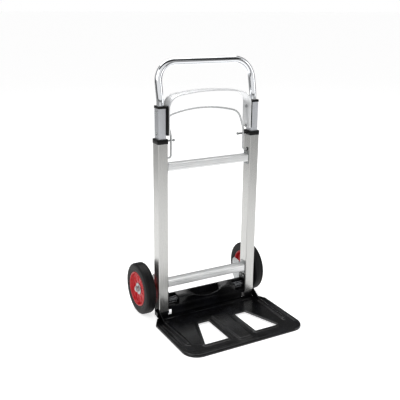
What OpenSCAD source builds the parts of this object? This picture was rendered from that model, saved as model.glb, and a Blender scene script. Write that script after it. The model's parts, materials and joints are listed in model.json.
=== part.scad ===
// Folding aluminium hand truck: toe plate down, wheels out, upper frame pushed in.
// X is the width and symmetric, -Y is the front, +Z is up. The origin is on the ground,
// midway between the front of the toe plate and the back of the wheels.

/* [Frame] */
// Width over the outer faces of the two rails
frame_w = 361; // [320:0.2:434]
// Height of the rails' upper ends above the ground
rail_top = 588; // [520:0.4:706]
// Height of the rails' lower ends above the ground
rail_bottom = 25; // [22:1:32]
// Rail section across the truck
rail_w = 33; // [31:0.2:40]
// Rail section front to back
rail_d = 38; // [36:0.2:46]
// Wall of the rails
rail_wall = 2; // [1.5:0.1:2.5]
// Outer corner radius of the rails
rail_corner = 2.5; // [1:0.5:4]

/* [Crossbars] */
// Crossbar section front to back
bar_d = 30; // [24:1:32]
// Crossbar section height
bar_h = 22; // [18:1:26]
// Wall of the crossbars
bar_wall = 2; // [1.5:0.5:3]
// Height of the lower crossbar's middle
low_bar_z = 117; // [112:1:135]
// Distance from the rails' upper ends down to the upper crossbar's middle
high_bar_drop = 85.5; // [84:0.5:120]
// Height of the end fittings
fitting_h = 44; // [42:1:50]
// Thickness of the end fittings' plates
fitting_t = 2.5; // [2:0.5:4]

/* [Upper frame] */
// Inner tube section across the truck
tube_w = 25; // [24.6:0.1:25.4]
// Inner tube section front to back
tube_d = 30; // [29.6:0.1:30.4]
// Wall of the inner tubes
tube_wall = 1.2; // [1:0.1:1.3]
// Length of the inner tubes
tube_len = 454; // [420:1:520]
// How far the inner tubes stand out of the rails when pushed in
tube_show = 96; // [90:1:130]
// How far the upper frame pulls out
travel = 270; // [200:5:300]
// Depth of the collars' skirts over the rails
skirt_h = 10; // [6:1:14]
// Thickness of the spacers beside the inner tubes
spacer_t = 6.5; // [4:0.5:9]
// Depth of the spacers front to back
spacer_d = 40; // [36:1:44]
// Height of the top caps
cap_h = 7; // [5:0.5:10]
// Distance between the two bolts of each side
bolt_pitch = 62; // [50:1:70]

/* [Handles] */
// Outer diameter of the round handle tube
grip_d = 22; // [20:0.2:22.2]
// Wall of the handle tube
grip_wall = 1.5; // [1:0.1:2]
// Height of the handle's top bar above the top caps
grip_rise = 125; // [110:1:160]
// Radius of the handle's upper corners
grip_corner = 60; // [40:1:80]
// Backward lean of the handle, in degrees
grip_lean = 12; // [4:1:16]
// Width of the carrying arch's strip, front to back
arch_d = 45; // [40:1:50]
// Thickness of the carrying arch's strip
arch_t = 3; // [2:0.5:4]
// Height of the carrying arch's crown above the rails' upper ends
arch_rise = 143; // [130:1:170]
// Radius of the carrying arch's corners
arch_corner = 42; // [30:1:50]

/* [Release] */
// Wire diameter of the release bail
bail_wire = 6; // [5:0.5:7]
// Half the distance between the bail's arms
bail_half = 130; // [125:1:132]
// Distance from the rails' upper ends down to the bail's pivot
bail_drop = 57; // [54:0.5:58]
// Length of the bail from its pivot to its crown, along the wire
bail_len = 136; // [130:1:150]
// Backward lean of the bail's upper part, in degrees
bail_lean = 30; // [20:1:36]
// Diameter of the lock pins
pin_d = 6; // [5:0.5:7]
// Height of the lock pins below the rails' upper ends
pin_drop = 6; // [5:0.5:7]

/* [Toe plate] */
// How far the toe plate reaches past the rails' outer faces
toe_over = 30.5; // [28:0.5:50]
// Length of the toe plate in front of the rails
toe_len = 264; // [220:1:320]
// Height of the toe plate's turned-down rim
toe_h = 8.6; // [7.5:0.1:10]
// Sheet thickness of the toe plate
toe_t = 2; // [1.5:0.5:3]
// Radius of the toe plate's front corners
toe_corner = 48; // [30:1:60]
// Height of the pressed beads on the toe plate
bead_h = 2; // [1:0.5:2.5]
// Radius of the toe plate's round ears
ear_r = 15; // [12:0.5:16]

/* [Cross piece] */
// Height of the cross piece's front edge above the ground
cross_z = 62; // [58:1:70]
// Sheet thickness of the cross piece
cross_t = 2.5; // [2:0.5:3]
// Width of the hand notch
notch_w = 100; // [80:1:120]
// Length of the spring bay at each end
bay_w = 40; // [36:1:46]

/* [Wheels] */
// Diameter of the wheels
wheel_d = 170; // [150:2:204]
// Width of the tyres
tyre_w = 38; // [32:1:44]
// Diameter of the red rims
rim_d = 114; // [100:1:120]
// Gap between a rail's side and its wheel
wheel_gap = 6.5; // [6:0.5:12]
// Distance of the axles behind the rails' front faces
axle_back = 82; // [80:1:100]
// Diameter of the axles
axle_d = 12; // [10:1:14]
// Distance of the fold pivots inside the rails' outer faces
pivot_in = 22.5; // [20:0.5:24]
// Diameter of the fold pivot pins
pivot_d = 8; // [6:1:9]

/* [Hidden] */
$fn = 64;

// Clearances: one for pieces that turn or slide, one for pieces fixed together
gap = 0.3;
fit = 0.1;
turn_fit = 0.05;
tiny = 0.01;

// Colours
alu = "silver";
zinc = "gainsboro";
black = "#1b1b1d";
red = "#c8202a";

// Places across the truck
half = frame_w / 2;
rail_x = half - rail_w / 2;
rail_in = half - rail_w;
wheel_in = half + wheel_gap;
wheel_r = wheel_d / 2;
rim_r = rim_d / 2;
wheel_out = wheel_in + tyre_w;

// Places front to back: every depth is counted back from the rails' front face
front = (toe_len - axle_back - wheel_r) / 2;
function back(depth) = front + depth;
mid_d = rail_d / 2;

// Inner corner radius of the rails and crossbars
inner_corner = 0.8;

// Rivets
rivet_r = 2;
rivet_head_r = 4;
rivet_head_h = 1.6;
rivet_tail_h = 1.2;
high_bar_z = rail_top - high_bar_drop;
fitting_rivet = fitting_h / 2 - 5;
boss_len = 14;
bar_zs = [low_bar_z, high_bar_z];

// Upper frame
tube_x = rail_x;
tube_in = tube_x - tube_w / 2;
tube_out = tube_x + tube_w / 2;
tube_top = rail_top + tube_show;
collar_lip = 3.6;
collar_over = 1.5;
sleeve_h = 38;
grip_r = grip_d / 2;
bolt_r = 3;
bolt_below_top = 14;
bolt_top = tube_top - bolt_below_top;
bolt_zs = [bolt_top, bolt_top - bolt_pitch];
spacer_bottom = rail_top + collar_lip + 11.4;
strip_out = tube_in - spacer_t;
strip_in = strip_out - arch_t;

// Release
bail_r = bail_wire / 2;
bail_y = mid_d - 3;
bail_z = rail_top - bail_drop;
pin_y = mid_d + 7;
pin_z = rail_top - pin_drop;
pin_r = pin_d / 2;
bail_corner = 30;
bail_crown = 400;
bail_bend = 30;
bail_upright = 60;
bail_tail = 1;
bush_wall = 1.5;
bush_flange_t = 1.5;
pin_reach = 29;

// Toe plate
toe_axis_y = 7;
toe_axis_z = rail_bottom - 5;
toe_bolt_r = 4;
ear_x = half + 0.7;
ear_t = 3;
foot_bottom = 3;
foot_plug = 26;
rear_cut = 36;
toe_rear_half = half + toe_over - 21;

// Cross piece
cross_front = 1;
cross_back = rail_d - 0.5;
cross_rise = 7;
cross_bottom = 3.5;
cross_rear_bottom = 12;
flange_top = low_bar_z - fitting_h / 2 - gap;
bay_z = 40;
flange_rivet_y = 9;
flange_rivet_z = flange_top - 10;
spring_y = mid_d + 1;
spring_z = 53;
spring_r = 10;
spring_wire = 2.6;
spring_pin_r = 4;
spring_turns = 5;

// Fold pivots and wheel brackets
pivot_x = half - pivot_in;
pivot_y = rail_d + 10;
pivot_r = pivot_d / 2;
lug_t = 3;
lug_low = 50;
lug_high = 112;
lug_r = pivot_r + 4.5;
base_t = 2.5;
base_low = 40;
base_high = 126;
base_rivet_x = rail_x + 9;
base_rivet_zs = [lug_low + 12, lug_high - 9];
plate_t = 3;
plate_back = axle_back + 17;
plate_low = wheel_r - 45;
plate_high = wheel_r + 38;
axle_r = axle_d / 2;
bush_r = axle_r + 3;
washer_r = 19;
washer_t = 2;
nut_r = 10.5;
nut_t = 8;

// A copy on each side; the right-hand copy is drawn and the left one mirrored
module side(s) { if (s < 0) mirror([1, 0, 0]) children(); else children(); }
module both() { for (s = [-1, 1]) side(s) children(); }

// A rounded rectangle whose corners stay true arcs
module rounded(w, d, r) {
    square([w - 2 * r, d], center = true);
    square([w, d - 2 * r], center = true);
    for (x = [-1, 1], y = [-1, 1]) translate([x * (w / 2 - r), y * (d / 2 - r)]) circle(r);
}

module bar_x(x0, x1, r) { translate([x0, 0, 0]) rotate([0, 90, 0]) cylinder(h = x1 - x0, r = r); }

// A tube section standing upright on the rail's middle line
module upright(w, d, r, z0, z1) {
    translate([rail_x, back(mid_d), z0]) linear_extrude(z1 - z0) rounded(w, d, r);
}

// ---- Lower frame ----

module rail(s) color(alu) side(s) difference() {
    upright(rail_w, rail_d, rail_corner, rail_bottom, rail_top);
    upright(rail_w - 2 * rail_wall, rail_d - 2 * rail_wall, inner_corner, rail_bottom - 1, rail_top + 1);
    for (z = bar_zs, k = [-1, 1]) translate([0, back(mid_d), z + k * fitting_rivet])
        bar_x(rail_in - 1, rail_in + rail_wall + 1, rivet_r);
    for (k = [-1, 1]) translate([0, back(mid_d + k * flange_rivet_y), flange_rivet_z])
        bar_x(rail_in - 1, rail_in + rail_wall + 1, rivet_r);
    translate([0, back(bail_y), bail_z])
        bar_x(rail_in - 1, rail_in + rail_wall + 1, bail_r + bush_wall);
    translate([0, back(pin_y), pin_z]) bar_x(rail_in - 1, rail_in + rail_wall + 1, pin_r + gap);
    for (z = base_rivet_zs) translate([base_rivet_x, back(rail_d + 1), z])
        rotate([90, 0, 0]) cylinder(h = rail_wall + 2, r = rivet_r);
}
module left_rail() { rail(-1); }
module right_rail() { rail(1); }

module crossbar(z) color(alu) translate([0, back(mid_d), z]) rotate([90, 0, 90])
    translate([0, 0, -(rail_in - fitting_t)]) linear_extrude(2 * (rail_in - fitting_t))
    difference() {
        rounded(bar_d, bar_h, 2);
        rounded(bar_d - 2 * bar_wall, bar_h - 2 * bar_wall, inner_corner);
        for (y = [-1, 1]) translate([y * bar_d / 2, 0]) circle(1);
    }
module upper_crossbar() { crossbar(high_bar_z); }
module lower_crossbar() { crossbar(low_bar_z); }

// A plate on each rail's inner face, with a boss inside the crossbar's end
module bar_fittings() color(zinc) both() for (z = bar_zs) translate([0, back(mid_d), z])
    difference() {
        union() {
            translate([rail_in - fitting_t, 0, 0]) rotate([90, 0, 90])
                linear_extrude(fitting_t) rounded(bar_d - 4, fitting_h, 5);
            translate([rail_in - fitting_t - boss_len, 0, 0]) rotate([90, 0, 90])
                linear_extrude(boss_len + 0.5) rounded(bar_d - 2 * (bar_wall + fit),
                    bar_h - 2 * (bar_wall + fit), inner_corner);
        }
        for (k = [-1, 1]) translate([0, 0, k * fitting_rivet])
            bar_x(rail_in - fitting_t - 1, rail_in + 1, rivet_r);
    }

// A blind rivet lying along X: head on the inner side, tail inside the rail
module blind_rivet(grip) {
    bar_x(rail_in - grip - rivet_head_h, rail_in - grip, rivet_head_r);
    bar_x(rail_in - grip - tiny, rail_in + rail_wall + tiny, rivet_r);
    bar_x(rail_in + rail_wall, rail_in + rail_wall + rivet_tail_h, rivet_r + 1.2);
}
module fitting_rivets() color(zinc) both() for (z = bar_zs, k = [-1, 1])
    translate([0, back(mid_d), z + k * fitting_rivet]) blind_rivet(fitting_t);

// A skirt over the rail's end, a lip around the inner tube and a sleeve between the two
module collar(s) color(black) side(s) difference() {
    union() {
        upright(rail_w + 2 * collar_over, rail_d + 2 * collar_over, rail_corner + collar_over,
            rail_top - skirt_h, rail_top + collar_lip);
        upright(rail_w - 2 * (rail_wall + fit), rail_d - 2 * (rail_wall + fit), inner_corner,
            rail_top - sleeve_h, rail_top);
    }
    difference() {
        upright(rail_w + 2 * fit, rail_d + 2 * fit, rail_corner, rail_top - skirt_h - 1, rail_top);
        upright(rail_w - 2 * (rail_wall + fit), rail_d - 2 * (rail_wall + fit), inner_corner,
            rail_top - sleeve_h - 1, rail_top + 1);
    }
    upright(tube_w + 2 * gap, tube_d + 2 * gap, 2, rail_top - sleeve_h - 1,
        rail_top + collar_lip + 1);
    translate([0, back(pin_y), pin_z])
        bar_x(rail_in - collar_over - 1, tube_x, pin_r + gap);
}
module left_collar() { collar(-1); }
module right_collar() { collar(1); }

// A block that closes the rail's lower end and holds the toe plate's hinge bolt
module foot(s) color(black) side(s) difference() {
    union() {
        upright(rail_w, rail_d, rail_corner, foot_bottom, rail_bottom);
        upright(rail_w - 2 * (rail_wall + fit), rail_d - 2 * (rail_wall + fit), inner_corner,
            rail_bottom - tiny, rail_bottom + foot_plug);
    }
    translate([0, back(toe_axis_y), toe_axis_z])
        bar_x(rail_in - 1, half + 1, toe_bolt_r + turn_fit);
}
module left_foot() { foot(-1); }
module right_foot() { foot(1); }

// Outline of the cross piece's sheet, seen from the side
module cross_section() {
    polygon([[cross_front, cross_bottom], [cross_front, cross_z],
        [cross_back, cross_z + cross_rise], [cross_back, cross_rear_bottom],
        [cross_back - cross_t, cross_rear_bottom],
        [cross_back - cross_t, cross_z + cross_rise - 3],
        [cross_front + cross_t, cross_z - 3], [cross_front + cross_t, cross_bottom]]);
}
// Disc whose lower edge is the hand notch, seen from the front
notch_depth = 12;
notch_r = (pow(notch_w / 2, 2) + pow(notch_depth, 2)) / (2 * notch_depth);
module notch_disc(r) { translate([0, cross_z - notch_depth + notch_r]) circle(r, $fn = 180); }
// Rolled lip around the notch
lip_w = 3;
lip_t = cross_t + 1.2;
module notch_lip() translate([0, back(cross_front + cross_t / 2 + lip_t / 2), 0])
    rotate([90, 0, 0]) linear_extrude(lip_t) difference() {
        notch_disc(notch_r + lip_w);
        notch_disc(notch_r - tiny);
        translate([-notch_r * 2, cross_z - lip_w / 2]) square([notch_r * 4, notch_r * 3]);
    }
cross_half = rail_in - fit;
module cross_piece() color(black) difference() {
    union() {
        translate([-cross_half, front, 0]) rotate([90, 0, 90]) linear_extrude(2 * cross_half)
            cross_section();
        both() {
            translate([cross_half - cross_t, back(cross_front), rail_bottom])
                cube([cross_t, cross_back - cross_front, flange_top - rail_bottom]);
            translate([cross_half - bay_w - cross_t, back(cross_front + tiny), rail_bottom])
                cube([cross_t, cross_back - cross_front - 2 * tiny, cross_z - rail_bottom]);
        }
        notch_lip();
    }
    translate([0, back(cross_back - cross_t), 0]) rotate([90, 0, 0])
        linear_extrude(cross_back - cross_t + 2) notch_disc(notch_r);
    both() {
        translate([cross_half - bay_w, back(0), bay_z])
            cube([bay_w - cross_t, cross_back - cross_t, 60]);
        translate([cross_half, back(-1), cross_bottom]) rotate([0, 45, 0])
            cube([20, 2 + cross_front + cross_t, 20]);
        for (y = [0, rail_d]) translate([cross_half + 1, back(y), flange_top])
            rotate([45, 0, 0]) cube([3 * cross_t + 6, 14, 14], center = true);
        for (k = [-1, 1]) translate([0, back(mid_d + k * flange_rivet_y), flange_rivet_z])
            bar_x(cross_half - cross_t - 1, cross_half + 1, rivet_r);
        translate([0, back(spring_y), spring_z])
            bar_x(cross_half - bay_w - 2 * cross_t, cross_half + 1, spring_pin_r + fit);
        translate([0, back(toe_axis_y), toe_axis_z])
            bar_x(cross_half - 12, cross_half + 1, toe_bolt_r + 6);
    }
}
module cross_piece_rivets() color(zinc) both() for (k = [-1, 1])
    translate([0, back(mid_d + k * flange_rivet_y), flange_rivet_z]) blind_rivet(cross_t + fit);

// Cross pins that carry the coil springs in the two end bays
module spring_pins() color(zinc) both() translate([0, back(spring_y), spring_z]) {
    bar_x(cross_half - bay_w - cross_t - 2, cross_half - tiny, spring_pin_r);
    bar_x(cross_half - bay_w - cross_t - 4, cross_half - bay_w - cross_t - fit,
        spring_pin_r + 2.5);
}

// Each coil spring as a ribbed sleeve of its own size
module fold_springs() color(zinc) both() translate([0, back(spring_y), spring_z])
    rotate([0, 90, 0]) rotate_extrude() {
        spring_room = bay_w - cross_t - 2 * gap;
        pitch = spring_room / spring_turns;
        x0 = cross_half - bay_w + gap;
        translate([spring_r - 1.6, x0]) square([0.8, spring_room]);
        for (i = [0 : spring_turns - 1])
            translate([spring_r - spring_wire / 2, x0 + (i + 0.5) * pitch]) circle(spring_wire / 2);
    }

// ---- Wheel folding ----

module pivot_hole(z0, z1, r) { translate([pivot_x, back(pivot_y), z0]) cylinder(h = z1 - z0, r = r); }

// A plate on the rail's back with two lugs that hold the fold pivot pin
module hinge_bracket(s) color(zinc) side(s) difference() {
    union() {
        translate([rail_x, back(rail_d + base_t), (base_low + base_high) / 2]) rotate([90, 0, 0])
            linear_extrude(base_t) rounded(rail_w - 2, base_high - base_low, 4);
        for (z = [lug_low, lug_high]) translate([pivot_x, back(0), z]) {
            translate([-lug_r, rail_d + 1, 0]) cube([2 * lug_r, pivot_y - rail_d - 1, lug_t]);
            translate([0, pivot_y, 0]) cylinder(h = lug_t, r = lug_r);
        }
    }
    pivot_hole(lug_low - 1, lug_high + lug_t + 1, pivot_r + fit);
    for (z = base_rivet_zs) translate([base_rivet_x, back(rail_d + base_t + 1), z])
        rotate([90, 0, 0]) cylinder(h = base_t + 2, r = rivet_r);
}
module left_hinge_bracket() { hinge_bracket(-1); }
module right_hinge_bracket() { hinge_bracket(1); }

module hinge_bracket_rivets() color(zinc) both() for (z = base_rivet_zs)
    translate([base_rivet_x, back(rail_d), z]) rotate([-90, 0, 0]) {
        translate([0, 0, base_t]) cylinder(h = rivet_head_h, r = rivet_head_r);
        translate([0, 0, -rail_wall]) cylinder(h = base_t + rail_wall + tiny, r = rivet_r);
        translate([0, 0, -rail_wall - rivet_tail_h]) cylinder(h = rivet_tail_h, r = rivet_r + 1.2);
    }

module fold_pivot_pins() color(zinc) both() {
    pivot_hole(lug_low - 3, lug_high + lug_t, pivot_r);
    pivot_hole(lug_high + lug_t, lug_high + lug_t + 3, pivot_r + 2.5);
    pivot_hole(lug_low - 3, lug_low - fit, pivot_r + 1.5);
}

// A swinging plate with a barrel around the pivot pin; it carries the wheel's axle
module wheel_bracket(s) color(zinc) side(s) difference() {
    union() {
        pivot_hole(lug_low + lug_t + gap, lug_high - gap, pivot_r + 3);
        translate([pivot_x - plate_t / 2, back(0), 0]) rotate([90, 0, 90]) linear_extrude(plate_t)
            polygon([[pivot_y + 4, lug_low + lug_t + 2], [pivot_y + lug_r + 1, lug_low + lug_t + 2],
                [pivot_y + lug_r + 4, plate_low], [plate_back - 16, plate_low],
                [plate_back, plate_low + 22], [plate_back, plate_high - 10],
                [plate_back - 10, plate_high], [pivot_y + lug_r + 1, plate_high - 4],
                [pivot_y + lug_r + 1, lug_high - 2], [pivot_y + 4, lug_high - 2]]);
        translate([0, back(axle_back), wheel_r])
            bar_x(pivot_x - plate_t / 2 - 2, pivot_x + plate_t / 2 + 2, axle_r + 8);
    }
    pivot_hole(lug_low, lug_high + lug_t, pivot_r + turn_fit);
    translate([0, back(axle_back), wheel_r]) bar_x(pivot_x - 10, pivot_x + 10, axle_r);
}
module left_wheel_bracket() { wheel_bracket(-1); }
module right_wheel_bracket() { wheel_bracket(1); }

axle_in = pivot_x - plate_t / 2 - 2;
sleeve_in = pivot_x + plate_t / 2 + 2;
sleeve_out = wheel_in - 0.5;
nut_in = wheel_out - 9;
module on_axle(s) { side(s) translate([0, back(axle_back), wheel_r]) children(); }

module axle(s) color(zinc) on_axle(s) {
    bar_x(axle_in - 4, axle_in, axle_r + 4);
    bar_x(axle_in - tiny, nut_in + washer_t + nut_t + 2, axle_r);
}
module left_axle() { axle(-1); }
module right_axle() { axle(1); }

module axle_sleeve(s) color(zinc) on_axle(s) difference() {
    bar_x(sleeve_in, sleeve_out, axle_r + 4);
    bar_x(sleeve_in - 1, sleeve_out + 1, axle_r + fit);
}
module left_axle_sleeve() { axle_sleeve(-1); }
module right_axle_sleeve() { axle_sleeve(1); }

module axle_nut(s) color(zinc) on_axle(s) difference() {
    union() {
        bar_x(nut_in, nut_in + washer_t, washer_r);
        translate([nut_in + washer_t - tiny, 0, 0]) rotate([0, 90, 0])
            cylinder(h = nut_t, r = nut_r, $fn = 6);
    }
    bar_x(nut_in - 1, nut_in + washer_t + nut_t + 1, axle_r);
}
module left_axle_nut() { axle_nut(-1); }
module right_axle_nut() { axle_nut(1); }

// ---- Wheels ----

// Ring sections are drawn with the wheel's axis upright: x is the radius, y the width
module wheel_ring(s) {
    on_axle(s) translate([wheel_in, 0, 0]) rotate([0, 90, 0]) rotate_extrude($fn = 128) children();
}
tyre_round = 7;
module tyre(s) color(black) wheel_ring(s) {
    translate([rim_r, 3]) square([8, tyre_w - 6]);
    translate([rim_r + 4, 1.5]) square([wheel_r - rim_r - 4 - tyre_round, tyre_w - 3]);
    translate([rim_r + 4, tyre_round]) square([wheel_r - rim_r - 4, tyre_w - 2 * tyre_round]);
    for (y = [tyre_round, tyre_w - tyre_round])
        translate([wheel_r - tyre_round, y]) circle(tyre_round);
}
module left_tyre() { tyre(-1); }
module right_tyre() { tyre(1); }

// A moulded rim: outer ring with lips, dished web and hub barrel
module rim(s) color(red) wheel_ring(s) {
    translate([rim_r - 7, 1.5]) square([7 - fit, tyre_w - 3]);
    translate([bush_r + fit, tyre_w / 2 - 3]) square([rim_r - 6 - bush_r, 6]);
    translate([bush_r + fit, 0.5]) square([12, tyre_w - 10]);
    translate([bush_r + 15, tyre_w / 2 - 6]) square([4, 14]);
}
module left_rim() { rim(-1); }
module right_rim() { rim(1); }

module wheel_bush(s) color("dimgray") wheel_ring(s)
    translate([axle_r + turn_fit, 0.5]) square([bush_r - axle_r - turn_fit, tyre_w - 10]);
module left_wheel_bush() { wheel_bush(-1); }
module right_wheel_bush() { wheel_bush(1); }

// ---- Upper frame ----

module inner_tube(s) color(alu) side(s) difference() {
    upright(tube_w, tube_d, 2, tube_top - tube_len, tube_top);
    upright(tube_w - 2 * tube_wall, tube_d - 2 * tube_wall, 1, tube_top - tube_len - 1,
        tube_top + 1);
    for (z = bolt_zs) translate([0, back(mid_d), z]) bar_x(tube_in - 1, tube_out + 1, bolt_r + fit);
    translate([0, back(pin_y), pin_z - travel]) bar_x(tube_in - 1, tube_x, pin_r + gap);
}
module left_inner_tube() { inner_tube(-1); }
module right_inner_tube() { inner_tube(1); }

module spacers() color(black) both() difference() {
    translate([(tube_in + strip_out) / 2, back(mid_d), spacer_bottom])
        linear_extrude(tube_top - spacer_bottom) rounded(spacer_t, spacer_d, 1.5);
    for (z = bolt_zs) translate([0, back(mid_d), z])
        bar_x(strip_out - 1, tube_in + 1, bolt_r + fit);
}

module top_cap(s) color(black) side(s) difference() {
    union() {
        translate([(strip_out + tube_out + 1) / 2, back(mid_d), tube_top])
            linear_extrude(cap_h) rounded(tube_out + 1 - strip_out, tube_d + 4, 3);
        for (k = [-1, 1])
            translate([rail_x - 8, back(mid_d) + k * (tube_d / 2 - tube_wall - 1.2) - 1,
                tube_top - 10]) cube([16, 2, 10 + tiny]);
    }
    translate([rail_x, back(mid_d), tube_top - 11]) cylinder(h = cap_h + 12, r = grip_r + fit);
}
module left_top_cap() { top_cap(-1); }
module right_top_cap() { top_cap(1); }

// Path of a bow that stands up, leans back and closes over the top, from its right-hand leg
// to its left one. start: its lowest points; bend: start of the lean; reach: straight stretch
// after the bend; corner, turn: radius and angle of the corners; crown: radius of the top
steps = 8;
function arc_steps(from, to, n) = [for (i = [0 : n]) from + (to - from) * i / n];
function leaned(x, along, bend, bend_r, lean) = [x,
    bend[1] + bend_r * (1 - cos(lean)) + along * sin(lean),
    bend[2] + bend_r * sin(lean) + along * cos(lean)];
function bow_half(start, bend, bend_r, lean, reach, corner, turn, crown) = concat(start,
    [for (a = arc_steps(0, lean, 4))
        [bend[0], bend[1] + bend_r * (1 - cos(a)), bend[2] + bend_r * sin(a)]],
    [for (a = arc_steps(0, turn, steps))
        leaned(bend[0] - corner * (1 - cos(a)), reach + corner * sin(a), bend, bend_r, lean)],
    crown == 0 ? [] : [for (a = arc_steps(turn, 90, steps)) if (a > turn && a < 90)
        leaned(crown * cos(a), reach - crown_drop(bend[0], corner, crown) + crown * sin(a),
            bend, bend_r, lean)]);
function crown_drop(half_w, corner, crown) =
    sqrt(pow(crown - corner, 2) - pow(half_w - corner, 2));
function flip(path) = [for (i = [len(path) - 1 : -1 : 0]) [-path[i][0], path[i][1], path[i][2]]];
function whole(path) = concat(path, flip(path));
function unit(v) = v / norm(v);
function heading(p, i) = unit(p[min(i + 1, len(p) - 1)] - p[max(i - 1, 0)]);

// A round bar of radius r swept along the points p, none of which head along Y
module swept(p, r, sides) {
    rings = [for (i = [0 : len(p) - 1]) let (t = heading(p, i), u = unit(cross(t, [0, 1, 0])),
        v = cross(t, u)) for (k = [0 : sides - 1])
        p[i] + r * (cos(k * 360 / sides) * u + sin(k * 360 / sides) * v)];
    last = (len(p) - 1) * sides;
    polyhedron(rings, concat(
        [[for (k = [0 : sides - 1]) k]],
        [for (i = [0 : len(p) - 2], k = [0 : sides - 1]) let (a = i * sides, n = (k + 1) % sides)
            [a + k, a + sides + k, a + sides + n, a + n]],
        [[for (k = [sides - 1 : -1 : 0]) last + k]]), convexity = 6);
}

grip_foot = bolt_zs[1] - 9;
grip_bend_z = tube_top + cap_h + 9;
grip_bend = 60;
grip_reach = (grip_rise - 9 - grip_bend * sin(grip_lean)) / cos(grip_lean) - grip_corner;
grip_sides = 28;
function grip_path(extra) = whole(bow_half([[rail_x, back(mid_d), grip_foot - extra]],
    [rail_x, back(mid_d), grip_bend_z], grip_bend, grip_lean, grip_reach, grip_corner, 90, 0));
module u_handle() color("whitesmoke") difference() {
    swept(grip_path(0), grip_r, grip_sides);
    swept(grip_path(1), grip_r - grip_wall, grip_sides);
    both() for (z = bolt_zs) translate([0, back(mid_d), z])
        bar_x(tube_in, tube_out, bolt_r + fit);
}

// Outline of the bent strip, seen from the front: straight legs, round corners, low crown
// The crown's radius follows from the width and from how far the crown stands over the corners
arch_over = 8.1;
arch_crown = rail_top + arch_rise;
arch_corner_z = arch_crown - arch_corner - arch_over;
arch_top_r = (pow(strip_out - arch_corner, 2) + pow(arch_corner + arch_over, 2)
    - pow(arch_corner, 2)) / (2 * arch_over);
module arch_outline(inset) {
    half_w = strip_out - inset;
    translate([-half_w, spacer_bottom - 1]) square([2 * half_w, arch_corner_z - spacer_bottom + 1]);
    intersection() {
        translate([-half_w, arch_corner_z]) square([2 * half_w, 2 * arch_corner]);
        translate([0, arch_crown - arch_top_r]) circle(arch_top_r - inset, $fn = 360);
        union() {
            for (k = [-1, 1]) translate([k * (strip_out - arch_corner), arch_corner_z])
                circle(arch_corner - inset);
            translate([-(strip_out - arch_corner), arch_corner_z])
                square([2 * (strip_out - arch_corner), arch_corner * 2]);
        }
    }
}
module carry_arch() color(alu) difference() {
    translate([0, back(mid_d) + arch_d / 2, 0]) rotate([90, 0, 0]) linear_extrude(arch_d)
        difference() {
            arch_outline(0);
            arch_outline(arch_t);
            translate([-half, spacer_bottom - 2]) square([2 * half, 2]);
        }
    both() for (z = bolt_zs) translate([0, back(mid_d), z])
        bar_x(strip_in - 1, strip_out + 1, bolt_r + fit);
}

module handle_bolts() color(zinc) both() for (z = bolt_zs) translate([0, back(mid_d), z]) {
    bar_x(strip_in - 4, tube_out + tiny, bolt_r);
    bar_x(tube_out, tube_out + 1.2, bolt_r + 2.4);
    bar_x(tube_out + 1.2 - tiny, tube_out + 3.6, bolt_r + 1.6);
}
module handle_nuts() color(zinc) both() for (z = bolt_zs) translate([0, back(mid_d), z])
    difference() {
        bar_x(strip_in - 3, strip_in, bolt_r + 2.2);
        bar_x(strip_in - 5, strip_in + 1, bolt_r);
    }

// ---- Release ----

// Flanged bushes in the rails' inner faces that the bail's ends turn in
module bail_bushes() color(black) both() translate([0, back(bail_y), bail_z]) difference() {
    union() {
        bar_x(rail_in - bush_flange_t, rail_in, bail_r + bush_wall + 1);
        bar_x(rail_in - tiny, rail_in + rail_wall, bail_r + bush_wall - turn_fit);
    }
    bar_x(rail_in - bush_flange_t - 1, rail_in + rail_wall + 1, bail_r + turn_fit);
}

bail_hook = 8;
bail_end = rail_in + rail_wall + bail_tail;
bail_reach = bail_len - bail_upright - bail_bend * bail_lean * PI / 180 - bail_corner;
bail_turn = 90 - asin((bail_half - bail_corner) / (bail_crown - bail_corner));
bail_start = concat([[bail_end, back(bail_y), bail_z]], [for (a = arc_steps(0, 90, steps))
    [bail_half + bail_hook * (1 - sin(a)), back(bail_y), bail_z + bail_hook * (1 - cos(a))]]);
module release_bail() color(zinc) swept(whole(bow_half(bail_start,
    [bail_half, back(bail_y), bail_z + bail_upright], bail_bend, bail_lean, bail_reach,
    bail_corner, bail_turn, bail_crown)), bail_r, 16);

// A headed pin that slides through the rail's inner wall towards the inner tube
module lock_pin(s) color(zinc) side(s) translate([0, back(pin_y), pin_z]) {
    bar_x(tube_in - gap - pin_reach - 8, tube_in - gap, pin_r);
    bar_x(tube_in - gap - pin_reach - 9, tube_in - gap - pin_reach - 5, pin_r + 1.5);
}
module left_lock_pin() { lock_pin(-1); }
module right_lock_pin() { lock_pin(1); }

// ---- Toe plate ----

toe_half = half + toe_over;
toe_back = -0.5;
bead_r = 9;
// Outline seen from above, grown inwards by inset: round front corners, cut rear corners
module toe_outline(inset) {
    x = toe_half - inset;
    y0 = -toe_len + inset;
    r = toe_corner - inset;
    polygon([[-x, -rear_cut], [-toe_rear_half + inset / 2, toe_back - inset],
        [toe_rear_half - inset / 2, toe_back - inset], [x, -rear_cut], [x, y0 + r],
        [x - r, y0], [-x + r, y0], [-x, y0 + r]]);
    for (k = [-1, 1]) translate([k * (x - r), y0 + r]) circle(r);
}
window_back = -92;
window_front = -toe_len + 50;
window_in = 50;
window_out = [88, 131];
panel_back = -64;
panel_front = -toe_len + 24;
panel_half = [30, 24];
// Right-hand window, a trapezoid that is wider at the front
module window_outline(grow) {
    polygon([[window_in - grow, window_back + grow], [window_out[0] + grow, window_back + grow],
        [window_out[1] + 1.6 * grow, window_front - grow],
        [window_in - grow, window_front - grow]]);
}
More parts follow.
